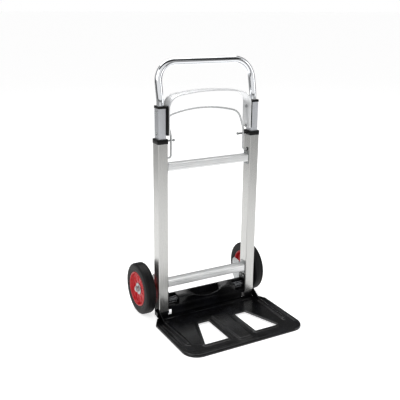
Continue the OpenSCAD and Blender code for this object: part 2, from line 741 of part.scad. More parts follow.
// Raised panel in the middle
module panel_outline(inset) {
    polygon([[-panel_half[0] + inset, panel_back - inset],
        [panel_half[0] - inset, panel_back - inset],
        [panel_half[1] - inset, panel_front + inset],
        [-panel_half[1] + inset, panel_front + inset]]);
}
module bead(x0, y0, x1, y1, r) {
    length = norm([x1 - x0, y1 - y0]);
    translate([x0, y0, toe_h - tiny]) rotate([0, 0, atan2(y1 - y0, x1 - x0)]) {
        translate([0, -r, 0]) cube([length, 2 * r, bead_h + tiny]);
        for (x = [0, length]) translate([x, 0, 0]) cylinder(h = bead_h + tiny, r = r);
    }
}
module toe_plate() color(black) difference() {
    translate([0, front, 0]) union() {
        difference() {
            linear_extrude(toe_h) toe_outline(0);
            translate([0, 0, -1]) linear_extrude(toe_h + 1 - toe_t) toe_outline(2.5);
        }
        both() {
            bead(toe_half - 31, -rear_cut - 4, toe_half - 35, -toe_len + 74, bead_r);
            translate([0, 0, toe_h - toe_t]) linear_extrude(toe_t + bead_h) difference() {
                window_outline(8);
                window_outline(3);
            }
        }
        linear_extrude(toe_h + bead_h) panel_outline(0);
        both() translate([ear_x, 0, 0]) rotate([90, 0, 90]) linear_extrude(ear_t) union() {
            translate([toe_axis_y, toe_axis_z]) circle(ear_r);
            polygon([[-44, toe_h - 1], [toe_axis_y - ear_r * 0.5, toe_axis_z + ear_r * 0.866],
                [toe_axis_y, toe_axis_z], [toe_axis_y - ear_r * 0.5, toe_axis_z - ear_r * 0.866],
                [-8, 2], [-44, 2]]);
        }
    }
    translate([0, front, -1]) both() linear_extrude(toe_h + bead_h + 2) window_outline(0);
    translate([0, front, -1]) linear_extrude(toe_h + bead_h + 1 - toe_t) panel_outline(toe_t);
    both() translate([0, back(toe_axis_y), toe_axis_z])
        bar_x(ear_x - 1, ear_x + ear_t + 1, toe_bolt_r + turn_fit);
}

bolt_end = rail_in - 3;
module toe_hinge_bolts() color(black) both() translate([0, back(toe_axis_y), toe_axis_z]) {
    bar_x(bolt_end, ear_x + ear_t + gap, toe_bolt_r);
    bar_x(ear_x + ear_t + gap - tiny, ear_x + ear_t + gap + 3, toe_bolt_r + 3);
}
module toe_hinge_washers() color(black) both() translate([0, back(toe_axis_y), toe_axis_z])
    difference() {
        bar_x(rail_in - 2.5, rail_in - tiny, toe_bolt_r + 3);
        bar_x(rail_in - 4, rail_in + 1, toe_bolt_r);
    }

left_rail();
right_rail();
upper_crossbar();
lower_crossbar();
bar_fittings();
fitting_rivets();
left_collar();
right_collar();
left_foot();
right_foot();
cross_piece();
cross_piece_rivets();
spring_pins();
fold_springs();
left_hinge_bracket();
right_hinge_bracket();
hinge_bracket_rivets();
fold_pivot_pins();
bail_bushes();
left_inner_tube();
right_inner_tube();
left_top_cap();
right_top_cap();
spacers();
u_handle();
carry_arch();
handle_bolts();
handle_nuts();
release_bail();
left_lock_pin();
right_lock_pin();
toe_plate();
toe_hinge_bolts();
toe_hinge_washers();
left_wheel_bracket();
right_wheel_bracket();
left_axle();
right_axle();
left_axle_sleeve();
right_axle_sleeve();
left_tyre();
right_tyre();
left_rim();
right_rim();
left_wheel_bush();
right_wheel_bush();
left_axle_nut();
right_axle_nut();
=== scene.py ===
import json
import math

import bmesh
import bpy
from mathutils import Matrix, Vector
from mathutils.geometry import delaunay_2d_cdt


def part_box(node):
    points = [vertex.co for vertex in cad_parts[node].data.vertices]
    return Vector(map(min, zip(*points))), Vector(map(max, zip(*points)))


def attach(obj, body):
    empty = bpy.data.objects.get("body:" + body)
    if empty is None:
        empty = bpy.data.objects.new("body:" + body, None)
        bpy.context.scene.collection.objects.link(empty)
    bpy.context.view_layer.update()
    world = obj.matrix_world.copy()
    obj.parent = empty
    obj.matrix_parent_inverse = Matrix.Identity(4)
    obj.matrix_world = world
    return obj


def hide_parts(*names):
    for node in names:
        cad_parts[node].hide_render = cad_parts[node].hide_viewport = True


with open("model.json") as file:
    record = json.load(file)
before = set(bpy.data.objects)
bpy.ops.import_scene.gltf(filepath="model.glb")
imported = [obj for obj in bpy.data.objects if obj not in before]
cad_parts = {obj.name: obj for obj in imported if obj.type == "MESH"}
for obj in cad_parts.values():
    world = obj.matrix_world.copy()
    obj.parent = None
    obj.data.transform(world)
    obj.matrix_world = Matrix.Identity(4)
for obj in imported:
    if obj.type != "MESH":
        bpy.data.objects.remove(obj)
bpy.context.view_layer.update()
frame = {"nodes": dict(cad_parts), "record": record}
mm = 0.001

# ---- Rails ----
# Two upright 33 x 38 mm rectangular tubes that carry the whole truck.
# Extruded aluminium, brushed along its length and clear anodised.


def linear(colour):
    """An sRGB hex colour as the linear RGBA value that a shader takes."""
    parts = [int(colour[i:i + 2], 16) / 255 for i in (1, 3, 5)]
    return [p / 12.92 if p <= 0.04045 else ((p + 0.055) / 1.055) ** 2.4 for p in parts] + [1]


def add(tree, kind, inputs=None, **settings):
    """One new node; each of its inputs is given as a value or as another node's socket."""
    made = tree.nodes.new(kind)
    for name, value in settings.items():
        setattr(made, name, value)
    for key, value in (inputs or {}).items():
        if isinstance(value, bpy.types.NodeSocket):
            tree.links.new(value, made.inputs[key])
        else:
            made.inputs[key].default_value = value
    return made


def surface(name, values):
    """A material of one Principled shader; values are its inputs by name."""
    material = bpy.data.materials.new(name)
    material.use_nodes = True
    tree = material.node_tree
    tree.nodes.clear()
    shader = add(tree, "ShaderNodeBsdfPrincipled", values)
    add(tree, "ShaderNodeOutputMaterial", {"Surface": shader.outputs["BSDF"]})
    return material, tree, shader


def uneven(tree, shader, vector, grain, low, high, depth):
    """Noise of one grain size that varies the roughness from low to high and lifts the surface."""
    noise = add(tree, "ShaderNodeTexNoise",
                {"Vector": vector, "Scale": 1 / grain, "Detail": 3.0, "Roughness": 0.6})
    spread = add(tree, "ShaderNodeMapRange", {
        "Value": noise.outputs["Fac"], "From Min": 0.3, "From Max": 0.7,
        "To Min": low, "To Max": high})
    tree.links.new(spread.outputs["Result"], shader.inputs["Roughness"])
    bump = add(tree, "ShaderNodeBump", {"Height": noise.outputs["Fac"], "Distance": depth})
    tree.links.new(bump.outputs["Normal"], shader.inputs["Normal"])


def brushed(name, colour, along, low, high, depth):
    """Metal with fine lines that run along one axis, 0.5 mm apart and some 400 mm long."""
    material, tree, shader = surface(name, {"Base Color": linear(colour), "Metallic": 1.0})
    place = add(tree, "ShaderNodeTexCoord")
    stretch = [1.0, 1.0, 1.0]
    stretch[along] = 0.5 / 400
    lines = add(tree, "ShaderNodeMapping",
                {"Vector": place.outputs["Object"], "Scale": stretch})
    uneven(tree, shader, lines.outputs["Vector"], 0.5 * mm, low, high, depth)
    return material


def finish(material, *nodes):
    """These CAD nodes keep their shape and take the material."""
    for node in nodes:
        for part in frame["nodes"][node].material_slots:
            part.material = material


# The drawn lines smear every reflection up and down the rail.
rail_aluminium = brushed("aluminium_brushed_anodised", "#BABAB8", 2, 0.22, 0.34, 0.02 * mm)
finish(rail_aluminium, "left_rail", "right_rail")

# ---- Foot blocks ----
# Plugs pressed into the rails' lower ends, which the folded truck stands on.
# Moulded black ABS with softened edges.


def piece(name, mesh, material, *nodes, smooth=35):
    """A new piece that stands for these CAD nodes and hides them; it rides on their body and takes
    the given material.
    """
    made = bpy.data.objects.new(name, mesh)
    bpy.context.scene.collection.objects.link(made)
    mesh.materials.clear()
    mesh.materials.append(material)
    mesh.shade_smooth()
    mesh.set_sharp_from_angle(angle=math.radians(smooth))
    record = frame["record"]
    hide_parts(*nodes)
    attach(made, next(body for body, held in record["behaviour"]["bodies"].items()
                       if nodes[0] in held))


def softened(node, width, material):
    """A piece in the CAD node's own shape whose sharp edges are rounded to this width."""
    shape = bmesh.new()
    shape.from_mesh(frame["nodes"][node].data)
    bmesh.ops.remove_doubles(shape, verts=shape.verts, dist=0.001 * mm)
    bmesh.ops.dissolve_limit(shape, angle_limit=math.radians(1), verts=shape.verts,
                             edges=shape.edges)
    sharp = [edge for edge in shape.edges
             if len(edge.link_faces) == 2 and edge.calc_face_angle() > math.radians(30)]
    bmesh.ops.bevel(shape, geom=sharp, offset=width, segments=2, profile=0.5,
                    affect="EDGES", clamp_overlap=True)
    mesh = bpy.data.meshes.new(node)
    shape.to_mesh(mesh)
    shape.free()
    piece("soft_" + node, mesh, material, node)


def moulded(name, colour, low, high, grain, depth):
    """Plastic or rubber with the fine spark-eroded texture of its mould."""
    material, tree, shader = surface(
        name, {"Base Color": linear(colour), "Specular IOR Level": 0.2})
    place = add(tree, "ShaderNodeTexCoord")
    uneven(tree, shader, place.outputs["Object"], grain, low, high, depth)
    return material


# The grain keeps the black from shining, apart from the rounded edges.
black_abs = moulded("abs_moulded_satin_black", "#070708", 0.26, 0.40, 0.6 * mm, 0.03 * mm)
for node in ("left_foot", "right_foot"):
    softened(node, 0.6 * mm, black_abs)

# ---- Crossbars ----
# Two horizontal 30 x 22 mm tubes with a groove along the front and the back.
# Extruded aluminium, brushed across the truck and satin anodised, so it looks paler and
# softer than the rails.
bar_aluminium = brushed("aluminium_satin_anodised", "#E2E3E3", 0, 0.34, 0.44, 0.02 * mm)


def grooved_bar(node):
    """A bar with rounded corners and two fine grooves along its front and its back."""
    low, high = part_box(node)
    depth, height = (high.y - low.y) / 2, (high.z - low.z) / 2
    corner, groove, cut, apart = 1.6 * mm, 0.9 * mm, 1.1 * mm, 3.4 * mm
    quarter = [(depth, 0), (depth, apart - groove), (depth - cut, apart - 0.5 * groove),
               (depth - cut, apart + 0.5 * groove), (depth, apart + groove)]
    quarter += [(depth - corner + corner * math.cos(a), height - corner + corner * math.sin(a))
                for a in (math.pi / 2 * i / 4 for i in range(5))]
    half = quarter + [(-y, z) for y, z in reversed(quarter)]
    ring = half + [(y, -z) for y, z in reversed(half[1:-1])]
    shape = bmesh.new()
    ends = [[shape.verts.new((x, (low.y + high.y) / 2 + y, (low.z + high.z) / 2 + z))
             for y, z in ring] for x in (low.x, high.x)]
    for k in range(len(ring)):
        shape.faces.new((ends[0][k - 1], ends[0][k], ends[1][k], ends[1][k - 1]))
    for end in ends:
        shape.faces.new(end)
    bmesh.ops.recalc_face_normals(shape, faces=shape.faces)
    mesh = bpy.data.meshes.new(node)
    shape.to_mesh(mesh)
    shape.free()
    piece("grooved_" + node, mesh, bar_aluminium, node, smooth=25)


for node in ("upper_crossbar", "lower_crossbar"):
    grooved_bar(node)

# ---- Crossbar end fittings and their rivets ----
# Pressed plates riveted to the rails' inner faces, with a boss inside each crossbar end.
# Zinc-plated steel: grey, with a faint mottle and a soft shine. The blind rivets have the
# mandrel's hole in the dome.


def plated(name, colour, low, high):
    """Zinc plating: a faint crystalline mottle, a few millimetres wide, over a soft shine."""
    material, tree, shader = surface(name, {"Metallic": 1.0})
    place = add(tree, "ShaderNodeTexCoord")
    uneven(tree, shader, place.outputs["Object"], 0.5 * mm, low, high, 0.01 * mm)
    cells = add(tree, "ShaderNodeTexVoronoi",
                {"Vector": place.outputs["Object"], "Scale": 1 / (3 * mm)})
    tone = add(tree, "ShaderNodeMix", {
        "Factor": cells.outputs["Color"], "A": linear(colour), "B": linear("#B4B6B6")},
        data_type="RGBA")
    tree.links.new(tone.outputs["Result"], shader.inputs["Base Color"])
    return material


def turned(name, profile, steps):
    """A mesh turned about Z from a closed profile of (radius, height) points in millimetres."""
    shape = bmesh.new()
    rings = []
    for radius, height in profile:
        count = steps if radius > 0 else 1
        rings.append([shape.verts.new((radius * mm * math.cos(2 * math.pi * k / count),
                                       radius * mm * math.sin(2 * math.pi * k / count),
                                       height * mm)) for k in range(count)])
    for low, high in zip(rings, rings[1:] + rings[:1]):
        for k in range(steps):
            corners = [low[k % len(low)], low[(k + 1) % len(low)],
                       high[(k + 1) % len(high)], high[k % len(high)]]
            corners = [v for i, v in enumerate(corners) if v not in corners[:i]]
            if len(corners) > 2:
                shape.faces.new(corners)
    bmesh.ops.recalc_face_normals(shape, faces=shape.faces)
    mesh = bpy.data.meshes.new(name)
    shape.to_mesh(mesh)
    shape.free()
    return mesh


def new_tree(name, inputs):
    """An empty Geometry Nodes tree with these named inputs, and its two end nodes."""
    tree = bpy.data.node_groups.new(name, "GeometryNodeTree")
    for label, kind in {"Geometry": "NodeSocketGeometry", **inputs}.items():
        tree.interface.new_socket(label, in_out="INPUT", socket_type=kind)
    tree.interface.new_socket("Geometry", in_out="OUTPUT", socket_type="NodeSocketGeometry")
    return tree, add(tree, "NodeGroupInput"), add(tree, "NodeGroupOutput")


def grown(name, start, tree, values):
    """The mesh that a Geometry Nodes tree makes from a start mesh, with its inputs by name."""
    holder = bpy.data.objects.new(name, start)
    bpy.context.scene.collection.objects.link(holder)
    modifier = holder.modifiers.new(name, "NODES")
    modifier.node_group = tree
    for socket in tree.interface.items_tree:
        if socket.in_out == "INPUT" and socket.name in values:
            modifier[socket.identifier] = values[socket.name]
    depsgraph = bpy.context.evaluated_depsgraph_get()
    mesh = bpy.data.meshes.new_from_object(holder.evaluated_get(depsgraph))
    holder.modifiers.clear()
    bpy.data.objects.remove(holder)
    return mesh


parts_on_points, given, result = new_tree(
    "parts_on_points", {"Part": "NodeSocketObject", "Material": "NodeSocketMaterial"})
part = add(parts_on_points, "GeometryNodeObjectInfo", {"Object": given.outputs["Part"]})
outward = add(parts_on_points, "GeometryNodeInputNamedAttribute", {"Name": "out"},
              data_type="FLOAT_VECTOR")
turn = add(parts_on_points, "FunctionNodeAlignRotationToVector",
           {"Vector": outward.outputs["Attribute"]}, axis="Z")
copies = add(parts_on_points, "GeometryNodeInstanceOnPoints", {
    "Points": given.outputs["Geometry"], "Instance": part.outputs["Geometry"],
    "Rotation": turn.outputs["Rotation"]})
real = add(parts_on_points, "GeometryNodeRealizeInstances",
           {"Geometry": copies.outputs["Instances"]})
coated = add(parts_on_points, "GeometryNodeSetMaterial", {
    "Geometry": real.outputs["Geometry"], "Material": given.outputs["Material"]})
parts_on_points.links.new(coated.outputs["Geometry"], result.inputs["Geometry"])


def repeated(name, part, places, material, *nodes):
    """Copies of a turned part at (place, outward direction) pairs, made into one piece."""
    points = bpy.data.meshes.new(name + "_points")
    points.from_pydata([place for place, outward in places], [], [])
    facing = points.attributes.new("out", "FLOAT_VECTOR", "POINT")
    for i, (place, outward) in enumerate(places):
        facing.data[i].vector = outward
    model = bpy.data.objects.new(name + "_model", part)
    bpy.context.scene.collection.objects.link(model)
    mesh = grown(name, points, parts_on_points, {"Part": model, "Material": material})
    bpy.data.objects.remove(model)
    piece(name, mesh, material, *nodes)


def islands(node):
    """The lowest and highest corners of each separate solid in a CAD node."""
    shape = bmesh.new()
    shape.from_mesh(frame["nodes"][node].data)
    bmesh.ops.remove_doubles(shape, verts=shape.verts, dist=0.001 * mm)
    left, found = set(shape.verts), []
    while left:
        reached = [left.pop()]
        for vert in reached:
            for edge in vert.link_edges:
                other = edge.other_vert(vert)
                if other in left:
                    left.remove(other)
                    reached.append(other)
        found.append((Vector(map(min, zip(*(v.co for v in reached)))),
                      Vector(map(max, zip(*(v.co for v in reached))))))
    shape.free()
    return found


zinc = plated("steel_zinc_plated", "#8F9293", 0.28, 0.42)
softened("bar_fittings", 0.7 * mm, zinc)
rivet_head = 1.6 * mm
blind_rivet = turned("blind_rivet", [
    (0, -0.2), (1.1, -0.2), (1.3, 1.5), (1.9, 1.6), (3.0, 1.25), (3.7, 0.7), (4.0, 0.1),
    (3.9, 0.0), (1.9, 0.0), (1.9, -5.4), (3.0, -5.5), (3.2, -6.4), (0, -6.7)], 24)


def rail_rivets(name, node):
    """Blind rivets that go out through the rails, with their heads on the inner side."""
    repeated(name, blind_rivet, [
        (((low.x if low.x > 0 else high.x) + math.copysign(rivet_head, low.x),
          (low.y + high.y) / 2, (low.z + high.z) / 2), (-math.copysign(1, low.x), 0, 0))
        for low, high in islands(node)], zinc, node)


rail_rivets("rivets_of_crossbars", "fitting_rivets")

# ---- Guide collars ----
# Sleeves over the rails' upper ends that guide the inner tubes.
# Moulded black ABS with softened edges, pressed on.
for node in ("left_collar", "right_collar"):
    softened(node, 0.9 * mm, black_abs)

# ---- Cross piece, its rivets and the fold springs ----
# A pressed steel channel between the rails, with a hand notch and two open end bays.
# Glossy black powder coat, whose orange peel breaks up the highlights. Rivets hold the side
# flanges, and a coil spring of dark oiled wire sits in each bay.


def powder_coated(name, colour, low, high):
    """Powder coat: orange peel some 1.5 mm wide, in a black that is greyer in large clouds."""
    material, tree, shader = surface(name, {"Specular IOR Level": 0.3})
    place = add(tree, "ShaderNodeTexCoord")
    uneven(tree, shader, place.outputs["Object"], 1.5 * mm, low, high, 0.05 * mm)
    cloud = add(tree, "ShaderNodeTexNoise",
                {"Vector": place.outputs["Object"], "Scale": 1 / (35 * mm), "Detail": 4.0})
    worn = add(tree, "ShaderNodeMapRange", {
        "Value": cloud.outputs["Fac"], "From Min": 0.45, "From Max": 0.75})
    tone = add(tree, "ShaderNodeMix", {
        "Factor": worn.outputs["Result"], "A": linear(colour), "B": linear("#101115")},
        data_type="RGBA")
    tree.links.new(tone.outputs["Result"], shader.inputs["Base Color"])
    return material


black_coat = powder_coated("steel_powder_coated_black", "#030304", 0.16, 0.26)
softened("cross_piece", 0.8 * mm, black_coat)
rail_rivets("rivets_of_cross_piece", "cross_piece_rivets")
finish(zinc, "spring_pins")

coils, given, result = new_tree("coils", {
    "Wire": "NodeSocketFloat", "Radius": "NodeSocketFloat", "Length": "NodeSocketFloat",
    "Turns": "NodeSocketFloat", "Material": "NodeSocketMaterial"})
helix = add(coils, "GeometryNodeCurveSpiral", {
    "Resolution": 40, "Rotations": given.outputs["Turns"],
    "Start Radius": given.outputs["Radius"], "End Radius": given.outputs["Radius"],
    "Height": given.outputs["Length"]})
wire_section = add(coils, "GeometryNodeCurvePrimitiveCircle",
                   {"Resolution": 12, "Radius": given.outputs["Wire"]})
wound = add(coils, "GeometryNodeCurveToMesh", {
    "Curve": helix.outputs["Curve"], "Profile Curve": wire_section.outputs["Curve"],
    "Fill Caps": True})
laid = add(coils, "GeometryNodeTransform",
           {"Geometry": wound.outputs["Mesh"], "Rotation": (0, math.radians(90), 0)})
springs = add(coils, "GeometryNodeInstanceOnPoints", {
    "Points": given.outputs["Geometry"], "Instance": laid.outputs["Geometry"]})
real = add(coils, "GeometryNodeRealizeInstances", {"Geometry": springs.outputs["Instances"]})
coated = add(coils, "GeometryNodeSetMaterial", {
    "Geometry": real.outputs["Geometry"], "Material": given.outputs["Material"]})
coils.links.new(coated.outputs["Geometry"], result.inputs["Geometry"])

spring_steel = brushed("spring_steel_oiled", "#6C6D70", 0, 0.16, 0.28, 0.005 * mm)
wire_radius = 1.3 * mm
bays = islands("fold_springs")
starts = bpy.data.meshes.new("spring_starts")
starts.from_pydata([(low.x + wire_radius, (low.y + high.y) / 2, (low.z + high.z) / 2)
                    for low, high in bays], [], [])
low, high = bays[0]
spring_values = {
    "Wire": wire_radius, "Radius": (high.z - low.z) / 2 - wire_radius,
    "Length": high.x - low.x - 2 * wire_radius, "Turns": 8.0, "Material": spring_steel}
piece("fold_coil_springs", grown("fold_coil_springs", starts, coils, spring_values),
      spring_steel, "fold_springs")

# ---- Hinge brackets, rivets and fold pivot pins ----
# Plates riveted to the rails' backs, with two lugs each for the pivot of a wheel bracket.
# Zinc-plated steel.
for node in ("left_hinge_bracket", "right_hinge_bracket"):
    softened(node, 0.6 * mm, zinc)
repeated("rivets_of_hinge_brackets", blind_rivet, [
    (((low.x + high.x) / 2, high.y - rivet_head, (low.z + high.z) / 2), (0, 1, 0))
    for low, high in islands("hinge_bracket_rivets")], zinc, "hinge_bracket_rivets")
finish(zinc, "fold_pivot_pins")

# ---- Inner tubes, caps and spacers ----
# The tubes slide in the rails and carry the handle; moulded caps close their tops, and
# black spacers stand between each tube and the carrying arch.
# Drawn aluminium with fine ribs along its faces that catch the light as pale lines.
tube_aluminium = brushed("aluminium_drawn_ribbed", "#D0D2D6", 2, 0.24, 0.40, 0.06 * mm)
finish(tube_aluminium, "left_inner_tube", "right_inner_tube")
for node in ("left_top_cap", "right_top_cap", "spacers"):
    softened(node, 0.7 * mm, black_abs)

# ---- Round handle ----
# A 22 mm steel tube bent to a U that leans back, with its legs inside the inner tubes.
# Bent, polished and chrome-plated: a mirror with faint wiping marks.


def bow(foot, bend, bend_radius, lean, reach, corner, turn, crown):
    """Points of a bow, in millimetres: up from its foot, leaning back after the bend, round
    the corners through the turn and, where it has a crown radius, in a low arch between."""
    def leaned(x, along):
        return Vector((x,
                       bend[1] + bend_radius * (1 - math.cos(lean)) + along * math.sin(lean),
                       bend[2] + bend_radius * math.sin(lean) + along * math.cos(lean)))
    half = list(foot)
    for i in range(13):
        a = lean * i / 12
        half.append(Vector((bend[0], bend[1] + bend_radius * (1 - math.cos(a)),
                            bend[2] + bend_radius * math.sin(a))))
    for i in range(25):
        a = turn * i / 24
        half.append(leaned(bend[0] - corner * (1 - math.cos(a)), reach + corner * math.sin(a)))
    if crown:
        drop = math.sqrt((crown - corner) ** 2 - (bend[0] - corner) ** 2)
        for i in range(1, 12):
            a = turn + (math.pi / 2 - turn) * i / 12
            half.append(leaned(crown * math.cos(a), reach - drop + crown * math.sin(a)))
    return half + [Vector((-p.x, p.y, p.z)) for p in reversed(half)]


round_bar, given, result = new_tree("round_bar", {
    "Radius": "NodeSocketFloat", "Sides": "NodeSocketInt", "Material": "NodeSocketMaterial"})
path = add(round_bar, "GeometryNodeMeshToCurve", {"Mesh": given.outputs["Geometry"]})
bar_section = add(round_bar, "GeometryNodeCurvePrimitiveCircle", {
    "Resolution": given.outputs["Sides"], "Radius": given.outputs["Radius"]})
bar = add(round_bar, "GeometryNodeCurveToMesh", {
    "Curve": path.outputs["Curve"], "Profile Curve": bar_section.outputs["Curve"],
    "Fill Caps": True})
coated = add(round_bar, "GeometryNodeSetMaterial", {
    "Geometry": bar.outputs["Mesh"], "Material": given.outputs["Material"]})
round_bar.links.new(coated.outputs["Geometry"], result.inputs["Geometry"])


def bent(name, points, radius, sides, material, node):
    """A round bar along these points, in the place of a CAD node."""
    line = bpy.data.meshes.new(name + "_path")
    line.from_pydata([p * mm for p in points], [(i, i + 1) for i in range(len(points) - 1)], [])
    mesh = grown(name, line, round_bar,
                 {"Radius": radius * mm, "Sides": sides, "Material": material})
    return piece(name, mesh, material, node)


chrome, tree, shader = surface("steel_chrome_plated_polished", {
    "Base Color": linear("#E3E5E8"), "Metallic": 1.0})
place = add(tree, "ShaderNodeTexCoord")
uneven(tree, shader, place.outputs["Object"], 6 * mm, 0.04, 0.10, 0.005 * mm)

tube_low, tube_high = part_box("right_inner_tube")
cap_low, cap_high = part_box("right_top_cap")
grip_low, grip_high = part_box("u_handle")
leg_x = (tube_low.x + tube_high.x) / 2 / mm
leg_y = (tube_low.y + tube_high.y) / 2 / mm
cap_top = cap_high.z / mm
grip_radius, grip_bend, grip_corner, grip_lean = 11, 60, 60, math.radians(12)
grip_straight = 9
grip_rise = grip_high.z / mm - grip_radius - cap_top - grip_straight
grip_reach = (grip_rise - grip_bend * math.sin(grip_lean)) / math.cos(grip_lean) - grip_corner
bent("round_handle", bow([Vector((leg_x, leg_y, grip_low.z / mm))],
                         (leg_x, leg_y, cap_top + grip_straight), grip_bend, grip_lean,
                         grip_reach, grip_corner, math.pi / 2, 0),
     grip_radius, 48, chrome, "u_handle")

# ---- Carrying arch and its bolts ----
# A flat 45 x 3 mm aluminium strip bent to an arch; its legs are bolted through the spacer,
# the inner tube and the handle. The satin strip is nearly white; the bolts have flanged
# domes, and the nuts are low hexagons with softened corners.
arch_aluminium = brushed("aluminium_strip_satin", "#DFE0E1", 1, 0.40, 0.52, 0.02 * mm)
softened("carry_arch", 0.9 * mm, arch_aluminium)
domed_bolt = turned("domed_bolt", [
    (0, 5.2), (1.6, 5.0), (3.0, 4.3), (4.0, 3.2), (4.5, 1.8), (4.6, 1.2), (5.6, 1.1),
    (5.8, 0.8), (5.8, 0.1), (5.6, 0), (2.9, 0), (2.9, -36), (2.4, -37.4), (0, -37.4)], 32)
dome_height = 3.6 * mm
repeated("bolts_of_handle", domed_bolt, [
    ((high.x - dome_height if high.x > 0 else low.x + dome_height,
      (low.y + high.y) / 2, (low.z + high.z) / 2), (math.copysign(1, high.x), 0, 0))
    for low, high in islands("handle_bolts")], zinc, "handle_bolts")
low_nut = turned("low_nut", [
    (3.0, 0), (4.6, 0), (5.2, 0.5), (5.2, 2.5), (4.6, 3.0), (3.0, 3.0)], 6)
repeated("nuts_of_handle", low_nut, [
    ((low.x if high.x < 0 else high.x, (low.y + high.y) / 2, (low.z + high.z) / 2),
     (-math.copysign(1, high.x), 0, 0))
    for low, high in islands("handle_nuts")], zinc, "handle_nuts")

# ---- Release bail and lock pins ----
# A 6 mm wire bow that turns in bushes in the rails and pulls the two lock pins.
# Bright zinc-plated steel wire, pale and even; the bushes are moulded black.
softened("bail_bushes", 0.3 * mm, black_abs)
bright_wire = plated("steel_wire_bright_zinc", "#C2C3C4", 0.34, 0.46)
bail_low, bail_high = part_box("release_bail")
bush_low, bush_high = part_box("bail_bushes")
pivot = Vector((bail_high.x, (bush_low.y + bush_high.y) / 2, (bush_low.z + bush_high.z) / 2)) / mm
arm_x, hook, bail_lean, bail_corner, bail_bend, crown = 130, 8, math.radians(30), 30, 30, 400
upright, arm_length = 60, 136
bail_reach = arm_length - upright - bail_bend * bail_lean - bail_corner
bail_turn = math.pi / 2 - math.asin((arm_x - bail_corner) / (crown - bail_corner))
hooked = [pivot] + [Vector((arm_x + hook * (1 - math.sin(a)), pivot.y,
                            pivot.z + hook * (1 - math.cos(a))))
                    for a in (math.pi / 2 * i / 12 for i in range(13))]
bent("release_wire", bow(hooked, (arm_x, pivot.y, pivot.z + upright), bail_bend, bail_lean,
                         bail_reach, bail_corner, bail_turn, crown),
     3, 24, bright_wire, "release_bail")
for node in ("left_lock_pin", "right_lock_pin"):
    softened(node, 0.7 * mm, zinc)

# ---- Toe plate ----
# The load plate: 2 mm steel sheet with a rolled rim, a stepped border, two windows with
# raised rings, a raised middle panel, two side beads and two hinge ears.
# Pressed in one piece, then powder-coated black.
rail_low, rail_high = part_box("right_rail")
toe_low, toe_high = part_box("toe_plate")
rail_front = rail_low.y / mm
toe_front = toe_low.y / mm
toe_half = toe_high.x / mm
toe_rear = rail_front - 0.5
toe_top, roll = 8.6, 4.5


def smooth_step(low, high, value):
    """0 below low, 1 above high, and an even curve between."""
    t = min(1, max(0, (value - low) / (high - low)))
    return t * t * (3 - 2 * t)


def corners(inset):
    """The plate's outline, seen from above and grown inwards."""
    x, y, r = toe_half - inset, toe_front + inset, 48 - inset
    rear_x, rear_y = toe_half - 21 - inset * 0.55, toe_rear - inset
    cut_y = toe_rear - 35.5 - inset * 0.35
    half = [Vector((0, y)), Vector((x - r, y))]
    half += [Vector((x - r + r * math.sin(a), y + r - r * math.cos(a)))
             for a in (math.pi / 2 * i / 24 for i in range(1, 25))]
    half += [Vector((x, cut_y)), Vector((rear_x, rear_y)), Vector((0, rear_y))]
    return half + [Vector((-p.x, p.y)) for p in reversed(half[1:-1])]


def outline(inset):
    """The same outline with points every 3.5 mm, as many at every inset."""
    full, ring, dense = corners(0), corners(inset), []
    for i, (a, b) in enumerate(zip(ring, ring[1:] + ring[:1])):
        count = max(1, round((full[(i + 1) % len(full)] - full[i]).length / 3.5))
        dense += [a.lerp(b, k / count) for k in range(count)]
    return dense


def distance(p, ring):
    """Distance from p to a closed ring of points, below zero when p is inside."""
    inside, nearest = False, math.inf
    for a, b in zip(ring, ring[1:] + ring[:1]):
        t = min(1, max(0, (p - a).dot(b - a) / (b - a).length_squared))
        nearest = min(nearest, (p - a - (b - a) * t).length)
        if (a.y > p.y) != (b.y > p.y) and p.x < a.x + (b.x - a.x) * (p.y - a.y) / (b.y - a.y):
            inside = not inside
    return -nearest if inside else nearest


def in_plate(x, depth):
    """A point of the plate from its distance in front of the rails."""
    return Vector((x, rail_front + depth))


window = [in_plate(50, -92), in_plate(50, -214), in_plate(131, -214), in_plate(88, -92)]
panel = [in_plate(-30, -64), in_plate(-24, -240), in_plate(24, -240), in_plate(30, -64)]
border = [in_plate(-190, -14), in_plate(-200, -40), in_plate(-200, -222),
          in_plate(-187, -246), in_plate(-160, -254), in_plate(160, -254),
          in_plate(187, -246), in_plate(200, -222), in_plate(200, -40), in_plate(190, -14)]
bead = (in_plate(180, -46), in_plate(176, -188))


def raised(p):
    """Height of the pressing above the sheet at p, taken on the right half."""
    q = Vector((abs(p.x), p.y))
    a, b = bead
    t = min(1, max(0, (q - a).dot(b - a) / (b - a).length_squared))
    height = -2.2 * smooth_step(0, 4, -distance(q, border))
    height += 4.6 * (1 - smooth_step(3, 10, (q - a - (b - a) * t).length))
    off = distance(q, window)
    height += 3.2 * smooth_step(0.4, 3.4, off) * (1 - smooth_step(6, 11, off))
    height += 4.2 * smooth_step(-1, 4, -distance(q, panel))
    return min(height, 2.6)


